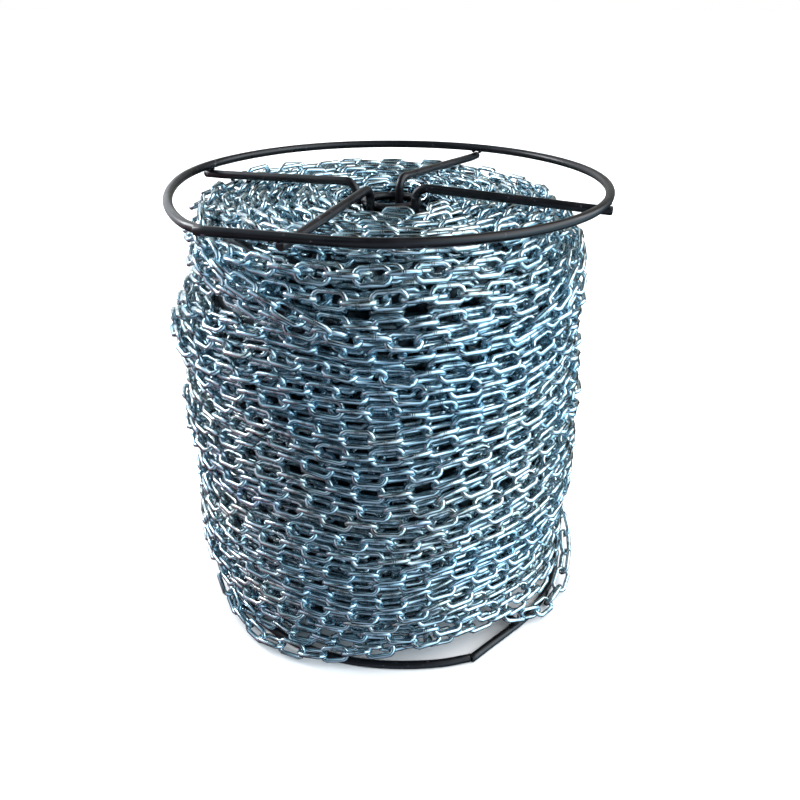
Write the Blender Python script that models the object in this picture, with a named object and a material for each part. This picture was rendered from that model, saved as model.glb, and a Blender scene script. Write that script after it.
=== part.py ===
"""Open wire reel wound full with short-link steel chain, standing on its lower flange.

Metres, +Z up. The origin is on the reel's axis, level with the floor under the lower ring.
Azimuths are degrees from +X towards +Y.
"""
import math

import bmesh
import bpy
from mathutils import Vector

MM = 0.001
TOUCH_GAP = 0.3 * MM

# Wire of the reel, and the two flange rings rolled from it
WIRE_DIAMETER = 5.5 * MM
REEL_HEIGHT = 300.0 * MM
TOP_RING_DIAMETER = 276.0 * MM
BOTTOM_RING_DIAMETER = 273.0 * MM
# A ring's butt joint comes to a peak: its late end is straight, its early end springs outwards
TOP_JOINT_AZIMUTH = 230.0
TOP_JOINT_STRAIGHT = 25.5
TOP_JOINT_SPRING = 50.0
BOTTOM_JOINT_AZIMUTH = 292.5
BOTTOM_JOINT_STRAIGHT = 18.0
BOTTOM_JOINT_SPRING = 28.0

# Four bent wires, each a top spoke, a post through the hub and a bottom spoke
POST_BEND_RADIUS = 7.5 * MM
OUTER_POST_RADIUS = 23.0 * MM
INNER_POST_RADIUS = 11.0 * MM
FLANGE_TWIST = 27.0
BOTTOM_SPOKE_REACH = 139.0 * MM
SPOKE_LEVEL_FROM = 128.0 * MM
SPOKE_DISH = 5.0 * MM
SPOKE_WIRES = (
    # name, azimuth of the top spoke's end, its reach, radius and azimuth of the post
    ("spoke_wire_left", 159.5, 142.5 * MM, OUTER_POST_RADIUS, 185.0),
    ("spoke_wire_front", 246.5, 136.5 * MM, OUTER_POST_RADIUS, 235.0),
    ("spoke_wire_back", 61.0, 139.0 * MM, INNER_POST_RADIUS, 62.0),
    ("spoke_wire_right", 337.5, 141.0 * MM, OUTER_POST_RADIUS, 311.0),
)

# Small rings that tie the posts together under each set of spokes
HUB_RING_DIAMETER = 34.4 * MM
HUB_RING_DROP = 13.0 * MM

# Wound chain: outer radius up the pack, rows up its wall, bore round the posts, layers on both ends
COIL_BORE_RADIUS = 26.5 * MM
COIL_WALL = (
    # height above the floor, outer radius
    (16.5 * MM, 139.5 * MM),
    (27.5 * MM, 145.5 * MM),
    (62.5 * MM, 146.0 * MM),
    (125.0 * MM, 144.0 * MM),
    (173.0 * MM, 141.0 * MM),
    (217.0 * MM, 140.5 * MM),
    (239.0 * MM, 133.5 * MM),
    (268.5 * MM, 128.5 * MM),
    (279.5 * MM, 123.5 * MM),
)
ROW_STEP = 12.0 * MM
ROW_DEPTH = 4.5 * MM
LAYER_STEP = 11.0 * MM
LAYER_DEPTH = 2.2 * MM
END_FACE_RADIUS = 118.5 * MM

RING_SEGMENTS = 64
HUB_SEGMENTS = 24
COIL_SEGMENTS = 40
WIRE_SIDES = 8
BEND_STEPS = 5
CREASE_ANGLE = math.radians(50.0)

WIRE_RADIUS = WIRE_DIAMETER / 2.0
STACKED_STEP = WIRE_DIAMETER + TOUCH_GAP
BOTTOM_RING_Z = WIRE_RADIUS
TOP_RING_Z = REEL_HEIGHT - WIRE_RADIUS
BOTTOM_SPOKE_Z = BOTTOM_RING_Z + STACKED_STEP
TOP_SPOKE_Z = TOP_RING_Z - STACKED_STEP
BOTTOM_HUB_Z = BOTTOM_SPOKE_Z - SPOKE_DISH + HUB_RING_DROP
TOP_HUB_Z = TOP_SPOKE_Z + SPOKE_DISH - HUB_RING_DROP
COIL_BOTTOM_Z = BOTTOM_SPOKE_Z + WIRE_RADIUS + TOUCH_GAP
COIL_TOP_Z = TOP_SPOKE_Z - WIRE_RADIUS - TOUCH_GAP


def clear_scene():
    for item in list(bpy.data.objects):
        bpy.data.objects.remove(item, do_unlink=True)


def make_material(name, color, metallic, roughness):
    material = bpy.data.materials.new(name)
    material.use_nodes = True
    shader = material.node_tree.nodes["Principled BSDF"]
    shader.inputs["Base Color"].default_value = (*color, 1.0)
    shader.inputs["Metallic"].default_value = metallic
    shader.inputs["Roughness"].default_value = roughness
    return material


def polar(radius, azimuth, z=0.0):
    angle = math.radians(azimuth)
    return Vector((radius * math.cos(angle), radius * math.sin(angle), z))


def add_object(name, mesh_data, material):
    """Turn a closed bmesh into a named object with its faces out and round sides smooth."""
    bmesh.ops.recalc_face_normals(mesh_data, faces=mesh_data.faces)
    mesh = bpy.data.meshes.new(name)
    mesh_data.to_mesh(mesh)
    mesh_data.free()
    mesh.shade_smooth()
    mesh.set_sharp_from_angle(angle=CREASE_ANGLE)
    mesh.materials.append(material)
    item = bpy.data.objects.new(name, mesh)
    bpy.context.scene.collection.objects.link(item)
    return item


def loft(sections, closed):
    """Skin equal loops of points into one body, joined end to end or capped at both ends."""
    body = bmesh.new()
    loops = [[body.verts.new(point) for point in section] for section in sections]
    sides = len(loops[0])
    last = len(loops) if closed else len(loops) - 1
    for index in range(last):
        here = loops[index]
        there = loops[(index + 1) % len(loops)]
        for side in range(sides):
            after = (side + 1) % sides
            body.faces.new((here[side], here[after], there[after], there[side]))
    if not closed:
        body.faces.new(loops[0])
        body.faces.new(loops[-1])
    return body


def wire_section(centre, across, up, corner_radius):
    """Octagonal section with a flat at its top and bottom."""
    points = []
    for side in range(WIRE_SIDES):
        angle = 2.0 * math.pi * (side + 0.5) / WIRE_SIDES
        points.append(centre + corner_radius * (math.cos(angle) * across + math.sin(angle) * up))
    return points


def make_ring(name, diameter, z, segments, material, joint=(0.0, 0.0, 0.0)):
    """Closed wire ring; joint is its azimuth, its straight end's angle and its springing end's."""
    joint_azimuth, straight_angle, spring_angle = joint
    up = Vector((0.0, 0.0, 1.0))
    corner_radius = WIRE_RADIUS / math.cos(math.pi / WIRE_SIDES)
    peak = 1.0 / math.cos(math.radians(straight_angle)) - 1.0
    sections = []
    for index in range(segments):
        from_joint = 360.0 * index / segments - 180.0
        if from_joint < 0.0:
            stretch = 1.0 + peak * max(0.0, 1.0 + from_joint / max(spring_angle, 1.0)) ** 2
        else:
            stretch = 1.0 / math.cos(math.radians(max(0.0, straight_angle - from_joint)))
        azimuth = joint_azimuth + from_joint
        centre = polar(0.5 * diameter * stretch, azimuth, z)
        sections.append(wire_section(centre, polar(1.0, azimuth), up, corner_radius))
    return add_object(name, loft(sections, closed=True), material)


def quarter_bend(post, outward, spoke_z, side):
    """Points from a level spoke round into the upright post; side is +1 at the top, -1 at the bottom."""
    points = []
    for step in range(BEND_STEPS + 1):
        turn = 0.5 * math.pi * step / BEND_STEPS
        along = POST_BEND_RADIUS * (1.0 - math.sin(turn))
        drop = POST_BEND_RADIUS * (1.0 - math.cos(turn))
        point = post + outward * along
        point.z = spoke_z - side * drop
        points.append(point)
    return points


def sweep_wire(path):
    """Sections along an open path, each turned on from the last without twist."""
    sections = []
    up = Vector((0.0, 0.0, 1.0))
    for index, point in enumerate(path):
        before = path[max(index - 1, 0)]
        after = path[min(index + 1, len(path) - 1)]
        direction = (after - before).normalized()
        up = (up - up.dot(direction) * direction).normalized()
        sections.append(wire_section(point, up.cross(direction), up, WIRE_RADIUS))
    return loft(sections, closed=False)


def make_spoke_wire(name, azimuth, reach, post_radius, post_azimuth, material):
    """Bent wire whose spokes are level where they cross the rings and dish outwards to the hub."""
    post = polar(post_radius, post_azimuth)
    bottom_azimuth = azimuth - FLANGE_TWIST
    top_end = polar(reach, azimuth, TOP_SPOKE_Z)
    bottom_end = polar(BOTTOM_SPOKE_REACH, bottom_azimuth, BOTTOM_SPOKE_Z)
    top_outward = (top_end - post).to_2d().normalized().to_3d()
    bottom_outward = (bottom_end - post).to_2d().normalized().to_3d()
    path = [top_end, polar(SPOKE_LEVEL_FROM, azimuth, TOP_SPOKE_Z)]
    path += quarter_bend(post, top_outward, TOP_SPOKE_Z + SPOKE_DISH, 1.0)
    path += reversed(quarter_bend(post, bottom_outward, BOTTOM_SPOKE_Z - SPOKE_DISH, -1.0))
    path += [polar(SPOKE_LEVEL_FROM, bottom_azimuth, BOTTOM_SPOKE_Z), bottom_end]
    return add_object(name, sweep_wire(path), material)


def end_face(face_z, side):
    """Ribs of the layers across one end, from the bore outwards; side is +1 at the top."""
    layers = round((END_FACE_RADIUS - COIL_BORE_RADIUS) / LAYER_STEP)
    step = (END_FACE_RADIUS - COIL_BORE_RADIUS) / layers
    groove_z = face_z - side * LAYER_DEPTH
    points = [(COIL_BORE_RADIUS, groove_z)]
    for layer in range(layers):
        inner = COIL_BORE_RADIUS + layer * step
        points.append((inner + 0.25 * step, face_z))
        points.append((inner + 0.75 * step, face_z))
        points.append((inner + step, groove_z))
    return points


def wall_radius(height):
    """Outer radius of the pack at a height, straight from one given height to the next."""
    for (low, low_radius), (high, high_radius) in zip(COIL_WALL, COIL_WALL[1:]):
        if height <= high:
            share = (height - low) / (high - low)
            return low_radius + share * (high_radius - low_radius)
    return COIL_WALL[-1][1]


def wall_rows():
    """Ribs of the rows of chain up the wall, from the lowest."""
    lowest = COIL_WALL[0][0]
    highest = COIL_WALL[-1][0]
    rows = round((highest - lowest) / ROW_STEP)
    step = (highest - lowest) / rows
    points = []
    for row in range(rows):
        for share in (0.25, 0.75):
            height = lowest + (row + share) * step
            points.append((wall_radius(height), height))
        groove_z = lowest + (row + 1) * step
        points.append((wall_radius(groove_z) - ROW_DEPTH, groove_z))
    return points


def make_chain_coil(name, material):
    """Wound chain as one turned body round its bore."""
    profile = end_face(COIL_BOTTOM_Z, -1.0)
    profile += wall_rows()
    profile += reversed(end_face(COIL_TOP_Z, 1.0))
    sections = []
    for index in range(COIL_SEGMENTS):
        azimuth = 360.0 * index / COIL_SEGMENTS
        sections.append([polar(radius, azimuth, z) for radius, z in profile])
    return add_object(name, loft(sections, closed=True), material)


def main():
    clear_scene()
    black_wire = make_material("black_wire", (0.02, 0.019, 0.024), 0.0, 0.38)
    zinc_chain = make_material("zinc_plated_chain", (0.62, 0.68, 0.71), 1.0, 0.28)
    make_ring("top_ring", TOP_RING_DIAMETER, TOP_RING_Z, RING_SEGMENTS, black_wire,
              (TOP_JOINT_AZIMUTH, TOP_JOINT_STRAIGHT, TOP_JOINT_SPRING))
    make_ring("bottom_ring", BOTTOM_RING_DIAMETER, BOTTOM_RING_Z, RING_SEGMENTS, black_wire,
              (BOTTOM_JOINT_AZIMUTH, BOTTOM_JOINT_STRAIGHT, BOTTOM_JOINT_SPRING))
    make_ring("hub_ring_top", HUB_RING_DIAMETER, TOP_HUB_Z, HUB_SEGMENTS, black_wire)
    make_ring("hub_ring_bottom", HUB_RING_DIAMETER, BOTTOM_HUB_Z, HUB_SEGMENTS, black_wire)
    for name, azimuth, reach, post_radius, post_azimuth in SPOKE_WIRES:
        make_spoke_wire(name, azimuth, reach, post_radius, post_azimuth, black_wire)
    make_chain_coil("chain_coil", zinc_chain)


main()
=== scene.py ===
"""Wire reel of short-link steel chain: the links that show, the reel's welded wire, and their finishes.

Metres, +Z up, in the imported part's own frame. Azimuths are degrees from +X towards +Y.
"""
import math

import bmesh
import bpy
import numpy as np
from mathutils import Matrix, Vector, noise


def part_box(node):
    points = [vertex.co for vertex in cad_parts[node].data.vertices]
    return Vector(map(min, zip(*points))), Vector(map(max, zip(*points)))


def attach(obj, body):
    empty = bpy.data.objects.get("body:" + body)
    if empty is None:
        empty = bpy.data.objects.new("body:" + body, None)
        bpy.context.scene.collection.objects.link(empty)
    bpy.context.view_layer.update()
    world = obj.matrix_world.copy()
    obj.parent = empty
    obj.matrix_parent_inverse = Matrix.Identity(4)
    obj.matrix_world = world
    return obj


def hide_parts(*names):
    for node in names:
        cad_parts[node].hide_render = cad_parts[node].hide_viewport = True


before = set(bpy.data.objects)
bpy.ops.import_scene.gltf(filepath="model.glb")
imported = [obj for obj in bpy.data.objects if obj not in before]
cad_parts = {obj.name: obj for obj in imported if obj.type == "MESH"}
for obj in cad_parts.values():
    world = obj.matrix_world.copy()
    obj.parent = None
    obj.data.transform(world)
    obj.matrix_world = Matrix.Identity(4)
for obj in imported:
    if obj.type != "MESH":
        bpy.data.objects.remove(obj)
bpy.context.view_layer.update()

MM = 0.001
TURN = 2.0 * math.pi
UP = np.array((0.0, 0.0, 1.0))

# Wire of the reel, read from the frame: its rings are one wire thick
top_ring_low, top_ring_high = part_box("top_ring")
bottom_ring_low, bottom_ring_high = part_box("bottom_ring")
REEL_WIRE = top_ring_high.z - top_ring_low.z
REEL_WIRE_RADIUS = 0.5 * REEL_WIRE
TOP_RING_Z = 0.5 * (top_ring_low.z + top_ring_high.z)
BOTTOM_RING_Z = 0.5 * (bottom_ring_low.z + bottom_ring_high.z)
TOP_HUB_Z = 0.5 * (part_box("hub_ring_top")[0].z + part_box("hub_ring_top")[1].z)
BOTTOM_HUB_Z = 0.5 * (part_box("hub_ring_bottom")[0].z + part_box("hub_ring_bottom")[1].z)
TOUCH_GAP = 0.3 * MM
TOP_SPOKE_Z = TOP_RING_Z - REEL_WIRE - TOUCH_GAP
BOTTOM_SPOKE_Z = BOTTOM_RING_Z + REEL_WIRE + TOUCH_GAP
# Rings: centreline radius, and the butt joint's azimuth with the angles over which the straight end runs
# straight and the springing end springs out
TOP_RING_RADIUS = 138.0 * MM
BOTTOM_RING_RADIUS = 136.5 * MM
TOP_JOINT = (230.0, 25.5, 50.0)
BOTTOM_JOINT = (292.5, 18.0, 28.0)
# How far the springing end passes the straight one, in degrees, and how far inside it lies there
TOP_LAP = (2.0, 3.0 * MM)
BOTTOM_LAP = (0.0, 1.2 * MM)
HUB_RING_RADIUS = 17.2 * MM
WIRE_SIDES = 20
# Spoke wires: a top spoke, a post through the hub and a bottom spoke. The lower flange is turned back by
# the twist, and every spoke is level near its end and dished towards the hub
POST_BEND_RADIUS = 7.5 * MM
FLANGE_TWIST = 27.0
BOTTOM_SPOKE_REACH = 139.0 * MM
SPOKE_LEVEL_FROM = 128.0 * MM
SPOKE_DISH = 5.0 * MM
SPOKE_WIRES = (
    # node, azimuth of the top spoke's end, its reach, radius and azimuth of the post
    ("spoke_wire_left", 159.5, 142.5 * MM, 23.0 * MM, 185.0),
    ("spoke_wire_front", 246.5, 136.5 * MM, 23.0 * MM, 235.0),
    ("spoke_wire_back", 61.0, 139.0 * MM, 11.0 * MM, 62.0),
    ("spoke_wire_right", 337.5, 141.0 * MM, 23.0 * MM, 311.0),
)

# Chain: wire, inside length and outside width of a link
LINK_WIRE = 3.0 * MM
LINK_PITCH = 16.0 * MM
LINK_WIDTH = 12.0 * MM
# Faces of a link: points round its outline and sides round its wire
LINK_POINTS = 12
LINK_SIDES = 6
LINK_ROUND = 0.5 * (LINK_WIDTH - LINK_WIRE)
LINK_STRAIGHT = 0.5 * (LINK_PITCH + LINK_WIRE) - LINK_ROUND
# Half the thickness of a run of chain, whose links lie at 45 degrees to what carries them
HALF_RUN = LINK_ROUND * math.cos(math.radians(45.0)) + 0.5 * LINK_WIRE
# A settled piece of so many links stays well under 200,000 triangles
LINKS_IN_A_PIECE = 1000
# Winding: steps from row to row and from layer to layer, and points of a path in one turn
ROW_STEP = 12.0 * MM
LAYER_STEP = 7.4 * MM
FLAT_ROW_STEP = LAYER_STEP + 3.4 * MM
STEPS_IN_A_TURN = 240
BORE_RADIUS = 28.0 * MM
# The wall: its rows, and its mean radius and lean to the left at a few heights
LOWEST_ROW = 17.5 * MM
HIGHEST_ROW = 281.0 * MM
WALL_HEIGHTS = np.array((16.0, 40.0, 75.0, 117.0, 157.0, 195.0, 217.0, 229.0, 252.0, 267.0, 281.0)) * MM
WALL_RADII = np.array((140.0, 145.0, 146.0, 144.0, 141.0, 139.2, 138.0, 136.0, 129.6, 128.5, 123.5)) * MM
WALL_LEANS = np.array((2.5, 4.5, 4.5, 3.0, 3.6, 4.6, 6.2, 6.2, 3.6, 6.5, 7.2)) * MM
# Places where the wall swells or is pinched: how far in mm, azimuth and spread in degrees, height and
# spread in mm
SWELLINGS = (
    (10.0, 184.0, 34.0, 207.0, 13.0),
    (7.5, 195.0, 26.0, 148.0, 20.0),
    (-4.5, 192.0, 26.0, 245.0, 11.0),
    (-7.0, 342.0, 34.0, 54.0, 28.0),
    (2.5, 338.0, 26.0, 24.0, 18.0),
)
# How far rows stray: shared waves and a row's own course, up or down and in or out
SHARED_RISE = 2.8 * MM
OWN_RISE = 1.3 * MM
SHARED_SWELL = 1.5 * MM
OWN_SWELL = 0.9 * MM
FLAT_SHARED_STRAY = 1.6 * MM
# No wire lies further out than this
OUTMOST = 154.5 * MM
# Top and bottom faces, and the heap of the top turns
TOP_FACE_Z = 288.5 * MM
BOTTOM_FACE_Z = 12.0 * MM
TOP_FACE_RADIUS = 113.5 * MM
TOP_FACE_LEAN = 7.0 * MM
TOP_MOUND = 1.5 * MM
INNER_TURN_RADIUS = BORE_RADIUS + 5.0 * MM
# Room that the settling keeps between wires that must not touch
CLEARANCE = 0.1 * MM

rng = np.random.default_rng(71)


def polar(radius, azimuth, z):
    """Point or points from radius, azimuth in degrees and height."""
    angle = np.radians(azimuth)
    return np.stack(np.broadcast_arrays(radius * np.cos(angle), radius * np.sin(angle), z), axis=-1)


def unit(vectors):
    return vectors / np.linalg.norm(vectors, axis=-1, keepdims=True)


def outward_of(points):
    """Level direction from the reel's axis to each point."""
    return unit(points * (1.0, 1.0, 0.0))


# Finishes


def linear(hex_colour):
    """Linear colour of an sRGB hex value."""
    channels = [int(hex_colour[place:place + 2], 16) / 255.0 for place in (1, 3, 5)]
    return tuple(c / 12.92 if c <= 0.04045 else ((c + 0.055) / 1.055) ** 2.4 for c in channels) + (1.0,)


def add_node(tree, kind, inputs=None, **settings):
    """Add a node with its settings; inputs gives a socket, by name or number, a value or a link."""
    made = tree.nodes.new(kind)
    for setting, value in settings.items():
        setattr(made, setting, value)
    for socket, value in (inputs or {}).items():
        if isinstance(value, bpy.types.NodeSocket):
            tree.links.new(value, made.inputs[socket])
        else:
            made.inputs[socket].default_value = value
    return made


def colour_ramp(tree, factor, stops):
    """Colour ramp through stops of (place, hex colour)."""
    ramp = add_node(tree, "ShaderNodeValToRGB", {"Fac": factor})
    while len(ramp.color_ramp.elements) < len(stops):
        ramp.color_ramp.elements.new(0.5)
    for element, (place, hex_colour) in zip(ramp.color_ramp.elements, stops):
        element.position = place
        element.color = linear(hex_colour)
    return ramp.outputs["Color"]


def new_material(name):
    material = bpy.data.materials.new(name)
    material.use_nodes = True
    return material, material.node_tree, material.node_tree.nodes["Principled BSDF"]


def blue_passivated_zinc():
    """Bright zinc plate under a thin blue passivate: mirror-like cold grey metal whose tint drifts a
    little from link to link, with the dark ridges of the butt weld in the middle of one side."""
    material, tree, shader = new_material("blue_passivated_zinc")
    shade = add_node(tree, "ShaderNodeAttribute", attribute_name="shade").outputs["Fac"]
    place = add_node(tree, "ShaderNodeAttribute", attribute_name="on_link").outputs["Vector"]
    along = add_node(tree, "ShaderNodeSeparateXYZ", {0: place})
    where = add_node(tree, "ShaderNodeTexCoord").outputs["Object"]
    # Drifts of the bath's tint are some 60 mm wide
    drift = add_node(tree, "ShaderNodeTexNoise", {"Vector": where, "Scale": 16.0, "Detail": 2.0})
    mixed = add_node(tree, "ShaderNodeMath", {0: shade, 1: drift.outputs["Fac"]}, operation="ADD")
    half = add_node(tree, "ShaderNodeMath", {0: mixed.outputs[0], 1: 0.5}, operation="MULTIPLY")
    tint = colour_ramp(tree, half.outputs[0], (
        (0.2, "#a2c4d2"), (0.4, "#b2ccd7"), (0.55, "#bccfd6"), (0.68, "#c5cecb"), (0.85, "#b0c4d9")))
    # The weld is 3 mm long, and its upset shows as ridges 1.3 mm apart
    half_weld = 1.6 * MM
    ridge_step = 1.3 * MM
    reach = add_node(tree, "ShaderNodeMath", {0: along.outputs["X"]}, operation="ABSOLUTE")
    inside = add_node(tree, "ShaderNodeMapRange", {
        "Value": reach.outputs[0], "From Min": 0.6 * half_weld, "From Max": half_weld,
        "To Min": 1.0, "To Max": 0.0})
    one_side = add_node(tree, "ShaderNodeMath", {0: along.outputs["Y"], 1: 0.0}, operation="GREATER_THAN")
    welded = add_node(tree, "ShaderNodeMath", {0: inside.outputs[0], 1: one_side.outputs[0]},
                      operation="MULTIPLY")
    turns = add_node(tree, "ShaderNodeMath", {0: along.outputs["X"], 1: TURN / ridge_step},
                     operation="MULTIPLY")
    ridges = add_node(tree, "ShaderNodeMath", {0: turns.outputs[0]}, operation="COSINE")
    upset = add_node(tree, "ShaderNodeMath", {0: ridges.outputs[0], 1: welded.outputs[0]},
                     operation="MULTIPLY")
    burnt = add_node(tree, "ShaderNodeMath", {0: welded.outputs[0], 1: 0.4}, operation="MULTIPLY")
    coloured = add_node(tree, "ShaderNodeMix", {"Factor": burnt.outputs[0], 6: tint, 7: linear("#6d6a66")},
                        data_type="RGBA")
    # Drawn and tumbled wire keeps shallow dents about 2 mm wide
    dents = add_node(tree, "ShaderNodeTexNoise", {"Vector": where, "Scale": 260.0, "Detail": 2.0})
    rough = add_node(tree, "ShaderNodeMapRange", {
        "Value": dents.outputs["Fac"], "From Min": 0.35, "From Max": 0.7, "To Min": 0.13, "To Max": 0.26})
    height = add_node(tree, "ShaderNodeMath", {0: dents.outputs["Fac"], 1: 0.6, 2: upset.outputs[0]},
                      operation="MULTIPLY_ADD")
    bump = add_node(tree, "ShaderNodeBump", {
        "Height": height.outputs[0], "Strength": 0.4, "Distance": 0.1 * MM})
    tree.links.new(coloured.outputs[2], shader.inputs["Base Color"])
    tree.links.new(rough.outputs[0], shader.inputs["Roughness"])
    tree.links.new(bump.outputs["Normal"], shader.inputs["Normal"])
    shader.inputs["Metallic"].default_value = 1.0
    return material


def dull_inner_zinc_painted_shade():
    """Zinc-plated chain deep in the pack: the same metal with painted shade, its colour darkened to near
    black with lighter spots, for the dark between the turns.
    """
    material, tree, shader = new_material("dull_inner_zinc_painted_shade")
    where = add_node(tree, "ShaderNodeTexCoord").outputs["Object"]
    spots = add_node(tree, "ShaderNodeTexVoronoi", {"Vector": where, "Scale": 90.0})
    # Painted shade: the zinc's colour runs from lighter spots to near black so the deep turns look shadowed
    colour = colour_ramp(tree, spots.outputs["Distance"], ((0.05, "#8b9aa2"), (0.5, "#2c363b")))
    tree.links.new(colour, shader.inputs["Base Color"])
    shader.inputs["Metallic"].default_value = 1.0
    shader.inputs["Roughness"].default_value = 0.5
    return material


def black_drawn_wire():
    """Drawn steel wire with a thin black coat: near black and satin, with a violet-grey sheen, faint
    cloudiness and small scuffs where the coat has worn."""
    material, tree, shader = new_material("black_drawn_wire")
    where = add_node(tree, "ShaderNodeTexCoord").outputs["Object"]
    cloud = add_node(tree, "ShaderNodeTexNoise", {"Vector": where, "Scale": 60.0, "Detail": 4.0})
    coat = colour_ramp(tree, cloud.outputs["Fac"], ((0.35, "#040406"), (0.55, "#07070b"), (0.7, "#0d0b11")))
    # Scuffs are flecks of bare wire about 2 mm across
    flecks = add_node(tree, "ShaderNodeTexNoise", {"Vector": where, "Scale": 330.0, "Detail": 2.0})
    worn = add_node(tree, "ShaderNodeMapRange", {
        "Value": flecks.outputs["Fac"], "From Min": 0.68, "From Max": 0.76, "To Min": 0.0, "To Max": 0.6})
    colour = add_node(tree, "ShaderNodeMix", {"Factor": worn.outputs[0], 6: coat, 7: linear("#5f5a66")},
                      data_type="RGBA")
    rough = add_node(tree, "ShaderNodeMapRange", {
        "Value": cloud.outputs["Fac"], "From Min": 0.3, "From Max": 0.7, "To Min": 0.24, "To Max": 0.4})
    bump = add_node(tree, "ShaderNodeBump", {
        "Height": flecks.outputs["Fac"], "Strength": 0.3, "Distance": 0.12 * MM})
    tree.links.new(colour.outputs[2], shader.inputs["Base Color"])
    tree.links.new(rough.outputs[0], shader.inputs["Roughness"])
    tree.links.new(bump.outputs["Normal"], shader.inputs["Normal"])
    # A thin waxy coat reflects a little less than a hard gloss paint
    shader.inputs["Specular IOR Level"].default_value = 0.4
    return material


# Reel


def tube_sections(path, radii, sides, closed=False):
    """Round sections along a path, each turned on from the last without twist."""
    path = np.asarray(path)
    ahead = np.roll(path, -1, axis=0) if closed else np.vstack((path[1:], path[-1:]))
    behind = np.roll(path, 1, axis=0) if closed else np.vstack((path[:1], path[:-1]))
    directions = unit(ahead - behind)
    angles = TURN * np.arange(sides) / sides
    up = UP
    sections = []
    for point, direction, radius in zip(path, directions, radii):
        up = unit(up - up.dot(direction) * direction)
        across = np.cross(up, direction)
        sections.append(point + radius * (np.outer(np.cos(angles), across) + np.outer(np.sin(angles), up)))
    return sections


def skin(body, sections, closed):
    """Skin round sections into a bmesh, joined end to end or capped."""
    loops = [[body.verts.new(point) for point in section] for section in sections]
    sides = len(loops[0])
    for index in range(len(loops) if closed else len(loops) - 1):
        here = loops[index]
        there = loops[(index + 1) % len(loops)]
        for side in range(sides):
            after = (side + 1) % sides
            body.faces.new((here[side], here[after], there[after], there[side]))
    if not closed:
        body.faces.new(loops[0])
        body.faces.new(loops[-1])


def weld_lump(body, centre, size, turn, seed):
    """Small uneven mound of weld metal, longest along its own turned X axis."""
    lump = bmesh.ops.create_icosphere(body, subdivisions=3, radius=1.0)
    cos_turn = math.cos(math.radians(turn))
    sin_turn = math.sin(math.radians(turn))
    for vertex in lump["verts"]:
        uneven = 1.0 + 0.22 * noise.noise(vertex.co * 1.7 + Vector((seed, 0.0, 0.0)))
        x, y, z = (uneven * along * reach for along, reach in zip(vertex.co, size))
        vertex.co = Vector(centre) + Vector((x * cos_turn - y * sin_turn, x * sin_turn + y * cos_turn, z))


def finish_piece(name, body, material, replaced):
    """Turn a bmesh into a finished piece that stands for CAD nodes."""
    bmesh.ops.recalc_face_normals(body, faces=body.faces)
    mesh = bpy.data.meshes.new(name)
    body.to_mesh(mesh)
    body.free()
    mesh.shade_smooth()
    mesh.set_sharp_from_angle(angle=math.radians(45.0))
    mesh.materials.append(material)
    piece = bpy.data.objects.new(name, mesh)
    bpy.context.scene.collection.objects.link(piece)
    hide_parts(*replaced)
    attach(piece, "root")
    return piece


def ring_path(radius, z, joint, around):
    """Centreline of a flange ring from its straight end, at 0 degrees around, to its springing end, at
    360. The two meet at a peak."""
    joint_azimuth, straight_angle, spring_angle = joint
    peak = 1.0 / math.cos(math.radians(straight_angle)) - 1.0
    straight = 1.0 / np.cos(np.radians(np.clip(straight_angle - around, 0.0, straight_angle)))
    springing = 1.0 + peak * np.clip(1.0 + (around - 360.0) / spring_angle, 0.0, None) ** 2
    azimuths = joint_azimuth + around
    # Bending by hand leaves slow waves in the ring
    hand_bent = 0.35 * MM * np.sin(np.radians(3.0 * azimuths))
    hand_bent = hand_bent + 0.2 * MM * np.sin(np.radians(7.0 * azimuths))
    return polar(radius * np.where(around < 180.0, straight, springing) + hand_bent, azimuths, z)


def make_flange_ring(name, radius, z, joint, lap, crossings, material):
    """Flange ring rolled from one wire, with weld metal in its joint and where the spokes cross it."""
    lap_angle, step = lap
    around = np.linspace(0.0, 360.0 + lap_angle, 320)
    path = ring_path(radius, z, joint, around)
    step_in = step * np.exp(-((around - 360.0 - lap_angle) / 5.0) ** 2)
    path -= step_in[:, None] * outward_of(path)
    radii = np.full(len(path), REEL_WIRE_RADIUS)
    # Sheared ends keep a small round at their edge
    round_edge = 0.5 * MM
    for end, inner in ((0, 1), (-1, -2)):
        radii[end] -= round_edge
        path[inner] = path[end] + round_edge * unit(path[inner] - path[end])
    body = bmesh.new()
    skin(body, tube_sections(path, radii, WIRE_SIDES), closed=False)
    joint_centre = 0.5 * (path[0] + path[-1]) - 0.35 * REEL_WIRE * outward_of(path[0])
    weld_lump(body, joint_centre, (2.0 * MM, 2.6 * MM, 1.6 * MM), joint[0], 5.0)
    for seed, (azimuth, contact_z) in enumerate(crossings):
        nearest = path[np.argmin(np.linalg.norm(path - polar(radius, azimuth, z), axis=1))]
        for side in (-1.0, 1.0):
            lean = azimuth + side * math.degrees(0.5 * REEL_WIRE / radius)
            centre = polar(np.linalg.norm(nearest[:2]), lean, contact_z)
            weld_lump(body, centre, (2.2 * MM, 1.3 * MM, 1.1 * MM), lean, 3.0 * seed + side)
    return finish_piece(name + "_welded", body, material, [name])


def make_hub_ring(name, z, material):
    """Small ring that ties the posts together, a little thicker where its ends are welded."""
    azimuths = 360.0 * np.arange(72) / 72
    body = bmesh.new()
    path = polar(HUB_RING_RADIUS, azimuths, z)
    bead = 0.12 * np.exp(-((azimuths - 150.0) / 7.0) ** 2)
    skin(body, tube_sections(path, REEL_WIRE_RADIUS * (1.0 + bead), WIRE_SIDES, closed=True), closed=True)
    return finish_piece(name + "_rolled", body, material, [name])


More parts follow.
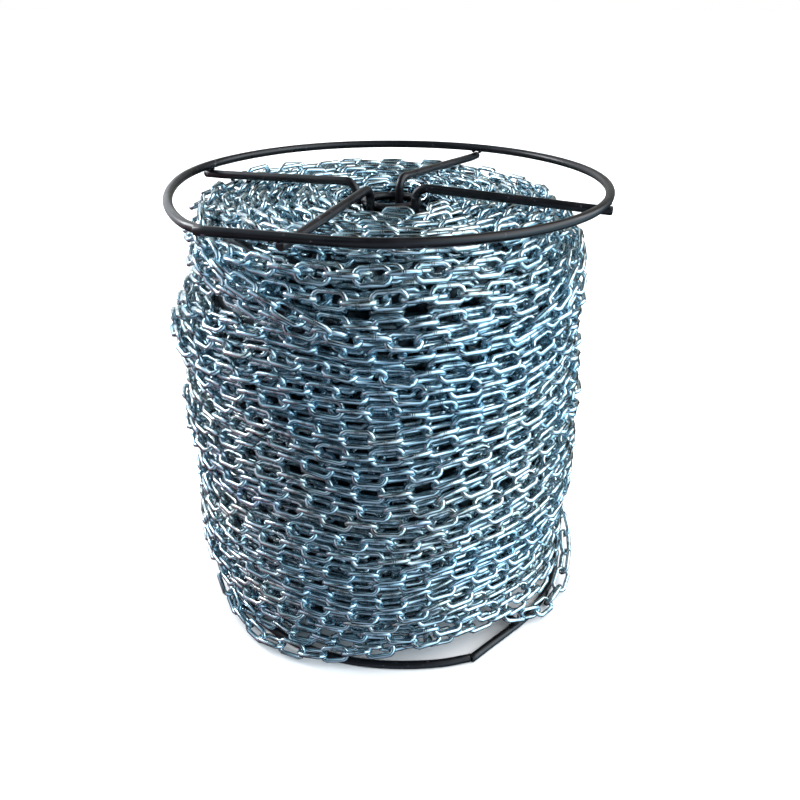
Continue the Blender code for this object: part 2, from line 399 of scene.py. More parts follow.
def spoke_path(azimuth, reach, post_radius, post_azimuth):
    """Centreline of a spoke wire: top spoke, bend, post, bend and bottom spoke."""
    post = polar(post_radius, post_azimuth, 0.0)
    bottom_azimuth = azimuth - FLANGE_TWIST
    halves = []
    for side, end_azimuth, end_reach, level_z in (
            (1.0, azimuth, reach, TOP_SPOKE_Z), (-1.0, bottom_azimuth, BOTTOM_SPOKE_REACH, BOTTOM_SPOKE_Z)):
        end = polar(end_reach, end_azimuth, level_z)
        level_from = polar(SPOKE_LEVEL_FROM, end_azimuth, level_z)
        hub_z = level_z + side * SPOKE_DISH
        outward = end - post
        outward[2] = 0.0
        outward = unit(outward)
        turns = np.linspace(0.0, 0.25 * TURN, 14)
        bend = (post + np.outer(POST_BEND_RADIUS * (1.0 - np.sin(turns)), outward)
                + np.outer(hub_z - side * POST_BEND_RADIUS * (1.0 - np.cos(turns)), UP))
        chamfer = end + 0.7 * MM * unit(level_from - end)
        share = np.linspace(0.0, 1.0, 26)[1:-1, None]
        straight = level_from + (bend[0] - level_from) * share
        halves.append(np.vstack((end, chamfer, level_from, straight, bend)))
    return np.vstack((halves[0], halves[1][::-1]))


def make_spoke_wire(name, azimuth, reach, post_radius, post_azimuth, material):
    """One bent spoke wire with sheared ends."""
    path = spoke_path(azimuth, reach, post_radius, post_azimuth)
    radii = np.full(len(path), REEL_WIRE_RADIUS)
    # The shears leave the ends a little smaller
    radii[[0, -1]] *= 0.84
    body = bmesh.new()
    skin(body, tube_sections(path, radii, WIRE_SIDES), closed=False)
    return finish_piece(name + "_bent", body, material, [name])


def make_reel():
    """Both flange rings, both hub rings and the four spoke wires."""
    black = black_drawn_wire()
    top_weld_z = TOP_RING_Z - REEL_WIRE_RADIUS
    bottom_weld_z = BOTTOM_RING_Z + REEL_WIRE_RADIUS
    top_crossings = [(azimuth, top_weld_z) for _, azimuth, *_ in SPOKE_WIRES]
    bottom_crossings = [(azimuth - FLANGE_TWIST, bottom_weld_z) for _, azimuth, *_ in SPOKE_WIRES]
    make_flange_ring("top_ring", TOP_RING_RADIUS, TOP_RING_Z, TOP_JOINT, TOP_LAP, top_crossings, black)
    make_flange_ring("bottom_ring", BOTTOM_RING_RADIUS, BOTTOM_RING_Z, BOTTOM_JOINT, BOTTOM_LAP,
                     bottom_crossings, black)
    make_hub_ring("hub_ring_top", TOP_HUB_Z, black)
    make_hub_ring("hub_ring_bottom", BOTTOM_HUB_Z, black)
    for spoke_wire in SPOKE_WIRES:
        make_spoke_wire(*spoke_wire, black)


# Course of the chain


def wander(count, reach):
    """Smooth random course of unit size, with a new knot every so many links."""
    knots = rng.normal(0.0, 1.0, count // reach + 4)
    at = np.arange(count) / reach
    first = at.astype(int)
    part = at - first
    before, here, after, beyond = (knots[first + step] for step in range(4))
    return here + 0.5 * part * (after - before + part * (
        2.0 * before - 5.0 * here + 4.0 * after - beyond + part * (3.0 * (here - after) + beyond - before)))


SWELLS = [(rng.integers(1, 9), rng.uniform(-22.0, 22.0), rng.uniform(0.0, TURN)) for _ in range(14)]


def swell(azimuth, z, shift):
    """Smooth unevenness of the pack, shared by neighbouring rows, of about unit size."""
    angle = np.radians(azimuth)
    waves = [np.sin(count * angle + slope * z / 0.3 + start + shift) for count, slope, start in SWELLS]
    return sum(waves) * math.sqrt(2.0 / len(SWELLS))


def near(azimuth, middle, reach):
    """1 at one azimuth, falling away smoothly to both sides of it."""
    return np.exp(-(((azimuth - middle + 180.0) % 360.0 - 180.0) / reach) ** 2)


def wall_radius(azimuth, z):
    """Outer radius of the pack's wall: it leans to the left, bulges there under its shoulder and half
    way up, and is pinched low down on the right above a slack foot."""
    lean = np.interp(z, WALL_HEIGHTS, WALL_LEANS) * np.cos(np.radians(azimuth))
    radius = np.interp(z, WALL_HEIGHTS, WALL_RADII) - lean
    for size, middle, spread, height, reach in SWELLINGS:
        level = np.exp(-((z - height * MM) / (reach * MM)) ** 2)
        radius = radius + size * MM * near(azimuth, middle, spread) * level
    return radius


def mess(azimuth, z):
    """How tangled the turns lie, from 0 to 1: worst on the left under and on top of the shoulder."""
    high = np.clip((z - 215.0 * MM) / (45.0 * MM), 0.0, 1.0)
    return high * (near(azimuth, 200.0, 38.0) + 0.5 * near(azimuth, 20.0, 60.0))


def mound(azimuth):
    """How high the top turns are heaped, as a share of the mound's height: most at the back left."""
    heaps = 2.0 * near(azimuth, 142.0, 16.0) + 0.8 * near(azimuth, 112.0, 10.0)
    return 1.0 + heaps - 0.7 * near(azimuth, 20.0, 30.0)


def lay_links(path, out, twist=22.0, scatter=6.0, twist_reach=9):
    """Links a pitch apart along a dense path, turned to either side by 45 degrees in turn.

    Gives each link's centre, its direction and the direction of its width, and whether the next
    link hangs in it."""
    lengths = np.concatenate(([0.0], np.cumsum(np.linalg.norm(np.diff(path, axis=0), axis=1))))
    count = int(lengths[-1] / LINK_PITCH)
    at = LINK_PITCH * np.arange(count + 1)
    joints = np.stack([np.interp(at, lengths, path[:, axis]) for axis in range(3)], axis=1)
    centre = 0.5 * (joints[1:] + joints[:-1])
    along = unit(joints[1:] - joints[:-1])
    middle = at[:-1] + 0.5 * LINK_PITCH
    outward = np.stack([np.interp(middle, lengths, out[:, axis]) for axis in range(3)], axis=1)
    side = unit(np.cross(outward, along))
    outward = np.cross(along, side)
    tangle = 1.0 + 1.4 * mess(np.degrees(np.arctan2(centre[:, 1], centre[:, 0])), centre[:, 2])
    roll = tangle * (twist * wander(count, twist_reach) + rng.normal(0.0, scatter, count))
    roll = np.radians(90.0 * (np.arange(count) % 2) - 45.0 + roll)[:, None]
    across = side * np.cos(roll) + outward * np.sin(roll)
    return centre, along, across, np.arange(count) < count - 1


def own_course(steps, every, reach):
    """Random course of a row's own, over the steps of its path."""
    knots = range(0, steps, every)
    return np.interp(np.arange(steps), knots, wander(len(knots), reach))


def wall_layer(depth, first_z, last_z, start_azimuth):
    """One layer of rows up the wall, wound as a single helix."""
    turns = (last_z - first_z) / ROW_STEP
    steps = int(turns * STEPS_IN_A_TURN)
    azimuth = start_azimuth + 360.0 * turns * np.arange(steps) / steps
    even_z = first_z + (last_z - first_z) * np.arange(steps) / steps
    tangle = 1.0 + mess(azimuth, even_z)
    # The rows next to the flanges lie true
    lie = np.clip(np.minimum(even_z - first_z, last_z - even_z) / (14.0 * MM), 0.0, 1.0)
    z = even_z + lie * (SHARED_RISE * swell(azimuth, even_z, 0.0)
                        + OWN_RISE * tangle * own_course(steps, 4, 7))
    # The lowest rows sag on the left and are held up along the front
    held_up = 2.5 * MM * near(azimuth, 288.0, 34.0) - 7.0 * MM * near(azimuth, 225.0, 32.0)
    z += held_up * np.exp(-((z - LOWEST_ROW) / (24.0 * MM)) ** 2)
    lumps = SHARED_SWELL * swell(azimuth, even_z, 1.9) + OWN_SWELL * tangle * own_course(steps, 4, 5)
    # Settling pushes the rows out by a little under a millimetre
    radius = wall_radius(azimuth, z) - HALF_RUN - depth + lumps - 0.8 * MM
    path = polar(radius, azimuth, z)
    return lay_links(path, polar(1.0, azimuth, 0.0))


def end_layer(face_z, side, depth, inner, outer, start_azimuth, twist):
    """One layer of turns across the top (side 1) or bottom (side -1), wound as a flat spiral."""
    turns = (outer - inner) / FLAT_ROW_STEP
    steps = int(turns * STEPS_IN_A_TURN)
    azimuth = start_azimuth + 360.0 * turns * np.arange(steps) / steps
    radius = inner + (outer - inner) * np.arange(steps) / steps
    share = (radius - inner) / (outer - inner)
    if side > 0.0:
        radius -= TOP_FACE_LEAN * share * np.cos(np.radians(azimuth))
        lift = TOP_MOUND * mound(azimuth) * np.clip(1.6 * share, 0.0, 1.0)
    else:
        lift = 0.0
    tangle = 1.0 + 1.2 * mess(azimuth, np.full(steps, face_z))
    radius = radius + FLAT_SHARED_STRAY * swell(azimuth, radius, 0.7)
    lift = lift + OWN_SWELL * tangle * own_course(steps, 6, 4) - HALF_RUN - depth
    path = polar(radius, azimuth, face_z + side * lift)
    out = np.tile((0.0, 0.0, side), (steps, 1))
    return lay_links(path, out, twist=twist, scatter=12.0, twist_reach=5)


def loose_strand(knots, twist=20.0):
    """Strand through knots of (azimuth, mm outside the wall's own turns, height in mm)."""
    azimuth, outside, height = np.array(knots).T
    at = np.arange(len(knots))
    dense = np.linspace(0, len(knots) - 1, 40 * len(knots))
    # Rounding the corners of the run from knot to knot gives the smooth hang of a slack chain
    round_off = np.hanning(41) / np.hanning(41).sum()
    azimuth, outside, height = (
        np.convolve(np.pad(np.interp(dense, at, values), len(round_off) // 2, mode="edge"), round_off,
                    mode="valid")
        for values in (azimuth, outside * MM, height * MM))
    radius = wall_radius(azimuth, height) - HALF_RUN + outside
    return lay_links(polar(radius, azimuth, height), polar(1.0, azimuth, 0.0), twist=twist)


LOOSE_STRANDS = (
    # Slack turn that leaves the rows on the left, drops over the lower flange and rises along the front
    ((184, 0, 74), (191, 1.5, 60), (198, 2, 46), (205, 1.5, 30), (213, 6.5, 15), (224, 10.5, 9),
     (233, 12.5, 8), (240, 10, 9), (247, 8, 8), (253, 6, 11), (262, 4, 18), (273, 2, 24), (283, 0, 28),
     (293, -4, 29)),
    # Turn inside it, along the floor
    ((186, -2, 20), (196, -1, 14), (207, 0, 10), (220, 0, 8), (233, 0, 8), (245, -1, 10), (256, -3, 15),
     (266, -6, 19)),
    # Two runs that cross the rows slantwise below the shoulder on the left
    ((203, -2, 288), (211, 2, 282), (218, 4, 277), (225, 5, 271), (231, 6, 265), (241, 6, 258.5),
     (247, 6, 253.5), (253, 5, 247.5), (259, 4, 243.5), (266, 3, 242), (274, 2, 241.5), (284, 1, 242),
     (294, -2, 243), (302, -5, 243)),
    ((206, -2, 275), (213, 4, 268), (221, 5, 262), (230, 5, 256), (240, 5, 250), (250, 4, 246),
     (258, 1, 243), (266, -4, 240)),
    # Runs that climb across the rows on the right
    ((303, -3, 233), (311, 2, 239), (319, 5, 247), (327, 6, 256), (335, 6, 264), (343, 5, 271),
     (351, 2, 276), (359, -3, 279)),
    ((318, -3, 232), (326, 4, 239), (334, 5, 247), (342, 5, 255), (350, 4, 262), (358, -3, 268)),
    # Loop that hangs out of the lowest rows on the right
    ((366, -2, 52), (359, 2, 42), (352, 6, 31), (345, 9, 21), (338, 10.5, 13), (331, 11, 7),
     (323, 9, 5.5), (316, 6, 9), (309, 2, 16), (302, -3, 24)),
)


def wind_chain():
    """Every strand of the winding, as (piece name, links) in the order they are settled."""
    strands = [("wall_turns", wall_layer(0.0, LOWEST_ROW, HIGHEST_ROW, 200.0))]
    strands.append(("second_turns", wall_layer(
        LAYER_STEP, LOWEST_ROW + 0.5 * ROW_STEP, HIGHEST_ROW - 0.5 * ROW_STEP, 20.0)))
    strands.append(("third_turns", wall_layer(
        2.0 * LAYER_STEP, LOWEST_ROW + 0.1 * ROW_STEP, HIGHEST_ROW - 0.9 * ROW_STEP, 140.0)))
    strands.append(("top_turns", end_layer(
        TOP_FACE_Z, 1.0, 0.0, INNER_TURN_RADIUS, TOP_FACE_RADIUS, 40.0, 40.0)))
    strands.append(("top_turns", end_layer(
        TOP_FACE_Z, 1.0, LAYER_STEP, INNER_TURN_RADIUS + 3.0 * MM, TOP_FACE_RADIUS - 8.0 * MM, 210.0, 36.0)))
    strands.append(("bottom_turns", end_layer(
        BOTTOM_FACE_Z, -1.0, 0.0, INNER_TURN_RADIUS, TOP_FACE_RADIUS, 90.0, 24.0)))
    for knots in LOOSE_STRANDS:
        strands.append(("loose_turns", loose_strand(knots)))
    return strands


# Settling of the links against each other

# A link is tested as 16 beads round its wire, eight on each end, and the two points where it hooks
BEAD_ANGLES = TURN * (np.arange(16) + 0.5) / 16
BEAD_ENDS = LINK_STRAIGHT * np.clip(3.0 * np.cos(BEAD_ANGLES), -1, 1)
BEADS = np.stack((LINK_ROUND * np.cos(BEAD_ANGLES) + BEAD_ENDS,
                  LINK_ROUND * np.clip(1.08 * np.sin(BEAD_ANGLES), -1, 1)), axis=1)
JOINTS = np.array(((0.5 * LINK_PITCH, 0.0), (-0.5 * LINK_PITCH, 0.0)))
SHAPE = np.vstack((BEADS, JOINTS))
SETTLING_ROUNDS = 120
# Near pairs are looked for again every so many rounds, and may come this much closer in between
ROUNDS_BETWEEN_SEARCHES = 8
SEARCH_MARGIN = 1.6 * MM
# How hard a bead is held: free, touching another wire, and against the reel or hooked in the next link
FREE_HOLD = 0.12
TOUCHING_HOLD = 1.0
FIRM_HOLD = 3.0
# Share of an overlap that one round takes out, and of a stray that a free bead is drawn back by
PUSH_SHARE = 1.25
RETURN_SHARE = 0.04
LEAST_GAP = 0.2 * MM
# Only wires below and above these heights can meet the reel's own wire
LOW_ZONE = 28.0 * MM
HIGH_ZONE = 266.0 * MM


def beads_in_reach(points, owner_centres, margin):
    """Pairs of beads on different links that are closer than two wires' radii and a margin."""
    link_reach = LINK_PITCH + LINK_WIRE + LINK_WIRE + margin
    squares = (owner_centres ** 2).sum(axis=1)
    beads = len(BEADS)
    found = []
    for start in range(0, len(owner_centres), 400):
        block = owner_centres[start:start + 400]
        gap = squares[start:start + 400, None] + squares - 2.0 * block @ owner_centres.T
        first, second = np.nonzero(gap < link_reach ** 2)
        first = first + start
        keep = first < second
        first = first[keep]
        second = second[keep]
        apart = points[first][:, :, None, :] - points[second][:, None, :, :]
        pair, one, other = np.nonzero((apart ** 2).sum(axis=3) < (LINK_WIRE + margin) ** 2)
        found.append(np.stack((first[pair] * beads + one, second[pair] * beads + other)))
    return np.hstack(found)


def obstacle_segments():
    """Straight runs of the spoke wires and their posts, as two arrays of ends."""
    starts = []
    ends = []
    for _, azimuth, reach, post_radius, post_azimuth in SPOKE_WIRES:
        path = spoke_path(azimuth, reach, post_radius, post_azimuth)
        # Of the top spoke its end, the start of its dish and both ends of its bend; of the bottom spoke
        # its middle, the start of its dish and its end
        corners = path[[0, 2, 26, 40, 67, -3, -1]]
        starts.append(corners[:-1])
        ends.append(corners[1:])
    return np.vstack(starts), np.vstack(ends)


def clear_of_reel(points, starts, ends):
    """Move points out of the reel's wire, the floor, the bore and the pack's widest reach."""
    clear = REEL_WIRE_RADIUS + 0.5 * LINK_WIRE + CLEARANCE
    moved = points.copy()
    ends_zone = np.nonzero((points[:, 2] < LOW_ZONE) | (points[:, 2] > HIGH_ZONE))[0]
    tested = points[ends_zone]
    for start, end in zip(starts, ends):
        run = end - start
        share = np.clip((tested - start) @ run / (run @ run), 0.0, 1.0)
        away = tested - (start + share[:, None] * run)
        distance = np.linalg.norm(away, axis=1)
        inside = distance < clear
        moved[ends_zone[inside]] += away[inside] * (clear / distance[inside] - 1.0)[:, None]
    azimuths = np.degrees(np.arctan2(tested[:, 1], tested[:, 0]))
    for radius, z, joint in ((TOP_RING_RADIUS, TOP_RING_Z, TOP_JOINT),
                             (BOTTOM_RING_RADIUS, BOTTOM_RING_Z, BOTTOM_JOINT)):
        path = ring_path(radius, z, joint, np.arange(360.0))
        place = ((azimuths - joint[0]) % 360.0).astype(int) % 360
        along_ring = np.cross(UP, outward_of(path[place]))
        away = tested - path[place]
        away -= (away * along_ring).sum(axis=1)[:, None] * along_ring
        distance = np.linalg.norm(away, axis=1)
        inside = distance < clear
        moved[ends_zone[inside]] += away[inside] * (clear / distance[inside] - 1.0)[:, None]
    radius = np.linalg.norm(moved[:, :2], axis=1)
    kept_radius = np.clip(radius, BORE_RADIUS + 0.5 * LINK_WIRE, OUTMOST - 0.5 * LINK_WIRE)
    moved[:, :2] *= (kept_radius / radius)[:, None]
    moved[:, 2] = np.maximum(moved[:, 2], 0.5 * LINK_WIRE + CLEARANCE)
    return moved


def fit_links(targets, weights):
    """Rigid place of each link that comes nearest to where its beads and joints are wanted: the turn
    is the polar part of their weighted spread."""
    total = weights.sum(axis=1)[:, None]
    middle = (weights[..., None] * targets).sum(axis=1) / total
    flat_middle = weights @ SHAPE / total
    flat = SHAPE - flat_middle[:, None, :]
    spread = np.einsum("nk,nkc,nkd->ncd", weights, targets - middle[:, None, :], flat)
    square = np.einsum("ncd,nce->nde", spread, spread)
    root = np.sqrt(np.maximum(square[:, 0, 0] * square[:, 1, 1] - square[:, 0, 1] ** 2, 1e-40))
    scale = np.sqrt(square[:, 0, 0] + square[:, 1, 1] + 2.0 * root)
    half = (square + root[:, None, None] * np.eye(2)) / scale[:, None, None]
    frame_of_link = spread @ np.linalg.inv(half)
    centre = middle - np.einsum("ncd,nd->nc", frame_of_link, flat_middle)
    return centre, frame_of_link[:, :, 0], frame_of_link[:, :, 1]


def settle(centre, along, across, hangs_in_next, rounds):
    """Push overlapping wires apart while every link stays hooked in the next one."""
    count = len(centre)
    bead_count = len(BEADS)
    linked = np.nonzero(hangs_in_next)[0]
    starts, ends = obstacle_segments()
    rest = None
    for step in range(rounds):
        placed = (centre[:, None, :] + SHAPE[None, :, :1] * along[:, None, :]
                  + SHAPE[None, :, 1:] * across[:, None, :])
        if rest is None:
            rest = placed.copy()
        points = placed[:, :bead_count].reshape(-1, 3)
        if step % ROUNDS_BETWEEN_SEARCHES == 0:
            one, other = beads_in_reach(placed[:, :bead_count], centre, SEARCH_MARGIN)
        apart = points[one] - points[other]
        distance = np.linalg.norm(apart, axis=1)
        touching = distance < LINK_WIRE
        hit_one = one[touching]
        hit_other = other[touching]
        gap = np.maximum(distance[touching], LEAST_GAP)
        push = apart[touching] * (0.5 * (LINK_WIRE - gap) / gap)[:, None]
        total = len(points)
        hits = np.bincount(hit_one, minlength=total) + np.bincount(hit_other, minlength=total)
        shift = np.stack([np.bincount(hit_one, push[:, axis], total)
                          - np.bincount(hit_other, push[:, axis], total) for axis in range(3)], axis=1)
        wanted = points + PUSH_SHARE * shift / np.maximum(hits, 1)[:, None]
        cleared = clear_of_reel(wanted, starts, ends)
        blocked = np.abs(cleared - wanted).max(axis=1) > 1e-7
        weight = np.where(hits > 0, TOUCHING_HOLD, FREE_HOLD)
        weight[blocked] = FIRM_HOLD
        targets = placed.copy()
        targets[:, :bead_count] = cleared.reshape(count, bead_count, 3)
        weights = np.empty((count, len(SHAPE)))
        weights[:, :bead_count] = weight.reshape(count, bead_count)
        weights[:, bead_count:] = FREE_HOLD
        free = weights == FREE_HOLD
        targets += RETURN_SHARE * free[..., None] * (rest - targets)
        meeting = 0.5 * (placed[linked, bead_count] + placed[linked + 1, bead_count + 1])
        targets[linked, bead_count] = meeting
        targets[linked + 1, bead_count + 1] = meeting
        weights[linked, bead_count] = FIRM_HOLD
        weights[linked + 1, bead_count + 1] = FIRM_HOLD
        centre, along, across = fit_links(targets, weights)
    return centre, along, across


# Links


def link_tree():
    """Geometry Nodes tree that puts a link on every point, turned to the point's two directions."""
    tree = bpy.data.node_groups.new("chain_links", "GeometryNodeTree")
    face = tree.interface
    face.new_socket("Points", in_out="INPUT", socket_type="NodeSocketGeometry")
    for label in ("Wire", "Pitch", "Width"):
        face.new_socket(label, in_out="INPUT", socket_type="NodeSocketFloat")
    face.new_socket("Finish", in_out="INPUT", socket_type="NodeSocketMaterial")
    face.new_socket("Links", in_out="OUTPUT", socket_type="NodeSocketGeometry")
    given = add_node(tree, "NodeGroupInput").outputs
    open_width = add_node(tree, "ShaderNodeMath", {0: given["Width"], 1: given["Wire"]}, operation="SUBTRACT")
    end_round = add_node(tree, "ShaderNodeMath", {0: open_width.outputs[0], 1: 0.5}, operation="MULTIPLY")
    length = add_node(tree, "ShaderNodeMath", {0: given["Pitch"], 1: given["Wire"]}, operation="ADD")
    reach = add_node(tree, "ShaderNodeMath", {0: length.outputs[0], 1: 0.5}, operation="MULTIPLY")
    straight = add_node(tree, "ShaderNodeMath", {0: reach.outputs[0], 1: end_round.outputs[0]},
                        operation="SUBTRACT")
    # A circle whose halves are drawn apart into the two ends of a link
    circle = add_node(tree, "GeometryNodeCurvePrimitiveCircle",
                      {"Resolution": LINK_POINTS, "Radius": end_round.outputs[0]})
    turned = add_node(tree, "GeometryNodeTransform",
                      {"Geometry": circle.outputs["Curve"], "Rotation": (0.0, 0.0, 0.5 * TURN / LINK_POINTS)})
    at = add_node(tree, "GeometryNodeInputPosition").outputs[0]
    parts = add_node(tree, "ShaderNodeSeparateXYZ", {0: at})
    share = add_node(tree, "ShaderNodeMath", {0: parts.outputs["X"], 1: end_round.outputs[0]},
                     operation="DIVIDE")
    steep = add_node(tree, "ShaderNodeMath", {0: share.outputs[0], 1: 6.0}, operation="MULTIPLY")
    which_end = add_node(tree, "ShaderNodeClamp", {"Value": steep.outputs[0], "Min": -1.0, "Max": 1.0})
    drawn_x = add_node(tree, "ShaderNodeMath",
                       {0: which_end.outputs[0], 1: straight.outputs[0], 2: parts.outputs["X"]},
                       operation="MULTIPLY_ADD")
    fuller = add_node(tree, "ShaderNodeMath", {0: parts.outputs["Y"], 1: 1.035}, operation="MULTIPLY")
    lowest = add_node(tree, "ShaderNodeMath", {0: end_round.outputs[0], 1: -1.0}, operation="MULTIPLY")
    level_y = add_node(tree, "ShaderNodeClamp",
                       {"Value": fuller.outputs[0], "Min": lowest.outputs[0], "Max": end_round.outputs[0]})
    outline = add_node(tree, "ShaderNodeCombineXYZ", {"X": drawn_x.outputs[0], "Y": level_y.outputs[0]})
    link_line = add_node(tree, "GeometryNodeSetPosition",
                         {"Geometry": turned.outputs[0], "Position": outline.outputs[0]})
    # Six sides, a little further out than the round wire, give the same girth
    wire_radius = add_node(tree, "ShaderNodeMath", {0: given["Wire"], 1: 0.5 * 1.12}, operation="MULTIPLY")
    profile = add_node(tree, "GeometryNodeCurvePrimitiveCircle",
                       {"Resolution": LINK_SIDES, "Radius": wire_radius.outputs[0]})
    link = add_node(tree, "GeometryNodeCurveToMesh",
                    {"Curve": link_line.outputs[0], "Profile Curve": profile.outputs["Curve"]})
    marked = add_node(tree, "GeometryNodeStoreNamedAttribute",
                      {"Geometry": link.outputs[0], "Name": "on_link", "Value": at},
                      data_type="FLOAT_VECTOR", domain="POINT")
    smooth = add_node(tree, "GeometryNodeSetShadeSmooth", {"Geometry": marked.outputs[0]})
    along = add_node(tree, "GeometryNodeInputNamedAttribute", {"Name": "along"}, data_type="FLOAT_VECTOR")
    across = add_node(tree, "GeometryNodeInputNamedAttribute", {"Name": "across"}, data_type="FLOAT_VECTOR")
    turn = add_node(tree, "FunctionNodeAxesToRotation",
                    {"Primary Axis": along.outputs[0], "Secondary Axis": across.outputs[0]},
                    primary_axis="X", secondary_axis="Y")
    links = add_node(tree, "GeometryNodeInstanceOnPoints",
                     {"Points": given["Points"], "Instance": smooth.outputs[0], "Rotation": turn.outputs[0]})
    real = add_node(tree, "GeometryNodeRealizeInstances", {"Geometry": links.outputs[0]})
    finished = add_node(tree, "GeometryNodeSetMaterial",
                        {"Geometry": real.outputs[0], "Material": given["Finish"]})
    add_node(tree, "NodeGroupOutput", {"Links": finished.outputs[0]})
    return tree


def make_links(name, tree, centre, along, across, shade, material):
    """One piece of the chain: its links' places as points, and the tree's links made a plain mesh."""
    points = bpy.data.meshes.new(name + "_places")
    points.from_pydata(centre.tolist(), [], [])
    for label, values in (("along", along), ("across", across)):
        points.attributes.new(label, "FLOAT_VECTOR", "POINT").data.foreach_set(
            "vector", np.ascontiguousarray(values, dtype=np.float32).ravel())
    points.attributes.new("shade", "FLOAT", "POINT").data.foreach_set("value", shade.astype(np.float32))
    holder = bpy.data.objects.new(name + "_places", points)
    bpy.context.scene.collection.objects.link(holder)
    modifier = holder.modifiers.new("links", "NODES")
    modifier.node_group = tree
    sizes = {"Wire": LINK_WIRE, "Pitch": LINK_PITCH, "Width": LINK_WIDTH, "Finish": material}
    for item in tree.interface.items_tree:
        if item.in_out == "INPUT" and item.name in sizes:
            modifier[item.identifier] = sizes[item.name]
    bpy.context.view_layer.update()
    evaluated = holder.evaluated_get(bpy.context.evaluated_depsgraph_get())
    mesh = bpy.data.meshes.new_from_object(evaluated)
    mesh.name = name
    bpy.data.objects.remove(holder, do_unlink=True)
    piece = bpy.data.objects.new(name, mesh)
    bpy.context.scene.collection.objects.link(piece)
    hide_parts("chain_coil")
    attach(piece, "root")
    return piece


def make_chain():
    """Wind the chain, settle it and make its links in pieces of a size that stays whole."""
    strands = wind_chain()
    names = np.concatenate([[name] * len(links[0]) for name, links in strands])
    centre, along, across, hangs_in_next = (
        np.concatenate([links[part] for _, links in strands]) for part in range(4))
    rounds = SETTLING_ROUNDS
    centre, along, across = settle(centre, along, across, hangs_in_next, rounds)
    shade = np.clip(0.5 + 0.16 * wander(len(names), 14) + rng.normal(0.0, 0.12, len(names)), 0.0, 1.0)
    tree = link_tree()
    zinc = blue_passivated_zinc()
    for name in dict.fromkeys(names):
        members = np.nonzero(names == name)[0]
        shares = math.ceil(len(members) / LINKS_IN_A_PIECE)
        for number, part in enumerate(np.array_split(members, shares), start=1):
            label = name if shares == 1 else f"{name}_{number}"
            make_links(label, tree, centre[part], along[part], across[part], shade[part], zinc)


# Hidden core: its foot, the room it keeps from the links that show, and the depth of its grooves
CORE_FOOT = 18.0 * MM
CORE_ROOM = 2.0 * MM
CORE_GROOVE = 2.0 * MM


def make_hidden_turns():
    """Core that stands for the turns deep in the pack, ribbed by its rows."""
    depth = 2.0 * LAYER_STEP + 2.0 * HALF_RUN + CORE_ROOM
    high = TOP_FACE_Z - LAYER_STEP - 2.0 * HALF_RUN
    rows = round((high - CORE_FOOT) / ROW_STEP)
    steps = np.linspace(0.0, rows, 4 * rows + 1)
    heights = CORE_FOOT + (high - CORE_FOOT) * steps / rows
    ribs = CORE_GROOVE * np.abs(np.sin(math.pi * steps))
    bore = BORE_RADIUS + CORE_ROOM
    sections = []
    for azimuth in np.arange(0.0, 360.0, 6.0):
        radii = wall_radius(azimuth, heights) - depth + ribs
        sections.append([polar(bore, azimuth, CORE_FOOT), *polar(radii, azimuth, heights),
                         polar(bore, azimuth, high)])
    body = bmesh.new()
    skin(body, sections, closed=True)
    return finish_piece("hidden_turns", body, dull_inner_zinc_painted_shade(), ["chain_coil"])


# Studio

# Light that comes from everywhere, and the bright parts of the room: middle direction, degrees from
# it at which each fades out and is full, and its light
AMBIENT = (0.02, 0.02, 0.02)
ROOM = (
    ((0.0, -0.94, -0.34), 50.0, 18.0, (0.42, 0.5, 0.63)),
    ((0.0, 0.97, 0.2), 45.0, 15.0, (0.42, 0.43, 0.4)),
    ((0.97, -0.1, 0.0), 50.0, 18.0, (0.8, 1.25, 1.55)),
    ((0.75, -0.1, 0.65), 45.0, 15.0, (2.5, 2.4, 2.4)),
    ((0.7, -0.65, 0.25), 45.0, 15.0, (1.1, 1.5, 1.8)),
    ((-0.97, -0.1, 0.0), 50.0, 18.0, (0.4, 0.25, 0.3)),
    ((-0.75, -0.1, 0.65), 45.0, 15.0, (0.5, 0.7, 0.8)),
    ((-0.7, 0.65, 0.3), 45.0, 15.0, (1.15, 1.2, 1.3)),
)


SUN_STRENGTH = 3.3
SUN_SPREAD = 100.0
# The softboxes point at the middle of the reel
SOFTBOX_AIM = (0.0, 0.0, 0.15)
SOFTBOX_SIZE = (0.45, 0.8)
SOFTBOX_COLOUR = (0.95, 0.98, 1.0)
FLOOR_REACH = 60.0


def add_softbox(name, place, power):
    """Oblong area light at a place, pointed at the reel."""
    data = bpy.data.lights.new(name, "AREA")
    data.shape = "RECTANGLE"
    data.size, data.size_y = SOFTBOX_SIZE
    data.energy = power
    data.color = SOFTBOX_COLOUR
    lamp = bpy.data.objects.new(name, data)
    lamp.location = place
    lamp.rotation_euler = (Vector(SOFTBOX_AIM) - Vector(place)).to_track_quat("-Z", "Y").to_euler()
    bpy.context.scene.collection.objects.link(lamp)


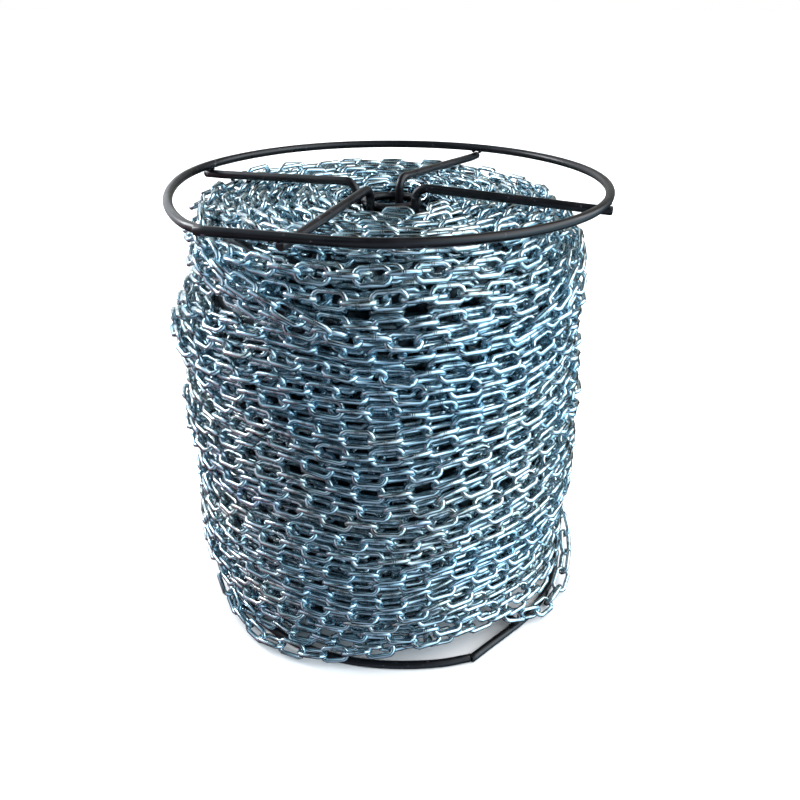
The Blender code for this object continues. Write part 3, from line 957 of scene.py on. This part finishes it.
def make_studio():
    """White floor, and a room that the metal reflects: dim in front, behind and on the left, bright on
    the right and most of all above the right, with a softbox on either side a little behind."""
    mesh = bpy.data.meshes.new("floor")
    corners = [(x * FLOOR_REACH, y * FLOOR_REACH, 0.0) for x, y in ((-1, -1), (1, -1), (1, 1), (-1, 1))]
    mesh.from_pydata(corners, [], [(0, 1, 2, 3)])
    floor = bpy.data.objects.new("floor", mesh)
    bpy.context.scene.collection.objects.link(floor)
    material, _, shader = new_material("pale_matt_floor")
    shader.inputs["Base Color"].default_value = linear("#f2f2f2")
    shader.inputs["Roughness"].default_value = 1.0
    shader.inputs["Specular IOR Level"].default_value = 0.0
    mesh.materials.append(material)
    # The metal reflects the dimmer room below it, not the bright floor
    floor.visible_glossy = False

    overhead = bpy.data.lights.new("overhead", "SUN")
    overhead.energy = SUN_STRENGTH
    overhead.angle = math.radians(SUN_SPREAD)
    lamp = bpy.data.objects.new("overhead", overhead)
    lamp.visible_glossy = False
    bpy.context.scene.collection.objects.link(lamp)
    add_softbox("left_softbox", (-1.4, 0.5, 1.0), 17.0)
    add_softbox("right_softbox", (1.4, 0.6, 0.8), 3.0)

    world = bpy.data.worlds.new("studio")
    world.use_nodes = True
    bpy.context.scene.world = world
    tree = world.node_tree
    direction = add_node(tree, "ShaderNodeTexCoord").outputs["Generated"]
    lit = AMBIENT
    for toward, edge, full, light in ROOM:
        length = math.sqrt(sum(part * part for part in toward))
        facing = add_node(tree, "ShaderNodeVectorMath",
                          {0: direction, 1: [part / length for part in toward]}, operation="DOT_PRODUCT")
        share = add_node(tree, "ShaderNodeMapRange", {
            "Value": facing.outputs["Value"], "From Min": math.cos(math.radians(edge)),
            "From Max": math.cos(math.radians(full))}, interpolation_type="SMOOTHSTEP")
        lit = add_node(tree, "ShaderNodeVectorMath", {0: share.outputs[0], 1: light, 2: lit},
                       operation="MULTIPLY_ADD").outputs[0]
    seen = add_node(tree, "ShaderNodeLightPath").outputs["Is Camera Ray"]
    backdrop = add_node(tree, "ShaderNodeMix", {"Factor": seen, 6: lit, 7: (1.0, 1.0, 1.0, 1.0)},
                        data_type="RGBA")
    tree.links.new(backdrop.outputs[2], tree.nodes["Background"].inputs["Color"])
    bpy.context.scene.view_settings.view_transform = "Standard"


# Camera of the photograph, worked out from the ellipses of both flange rings: its place, how far it
# looks down in degrees, its roll in radians, and the lens for a sensor of the given width in mm
CAMERA_PLACE = (5.285 * MM, -466.1 * MM, 396.0 * MM)
CAMERA_DIP = 29.39
CAMERA_ROLL = -0.0021
CAMERA_LENS = 31.5
SENSOR_WIDTH = 36.0


def make_camera():
    """Camera at the photograph's viewing angle."""
    data = bpy.data.cameras.new("camera")
    data.lens = CAMERA_LENS
    data.sensor_width = SENSOR_WIDTH
    data.clip_start = 0.01
    camera = bpy.data.objects.new("camera", data)
    camera.location = CAMERA_PLACE
    camera.rotation_euler = (math.radians(90.0 - CAMERA_DIP), CAMERA_ROLL, 0.0)
    bpy.context.scene.collection.objects.link(camera)
    bpy.context.scene.camera = camera


make_camera()
make_studio()
make_reel()
make_hidden_turns()
make_chain()
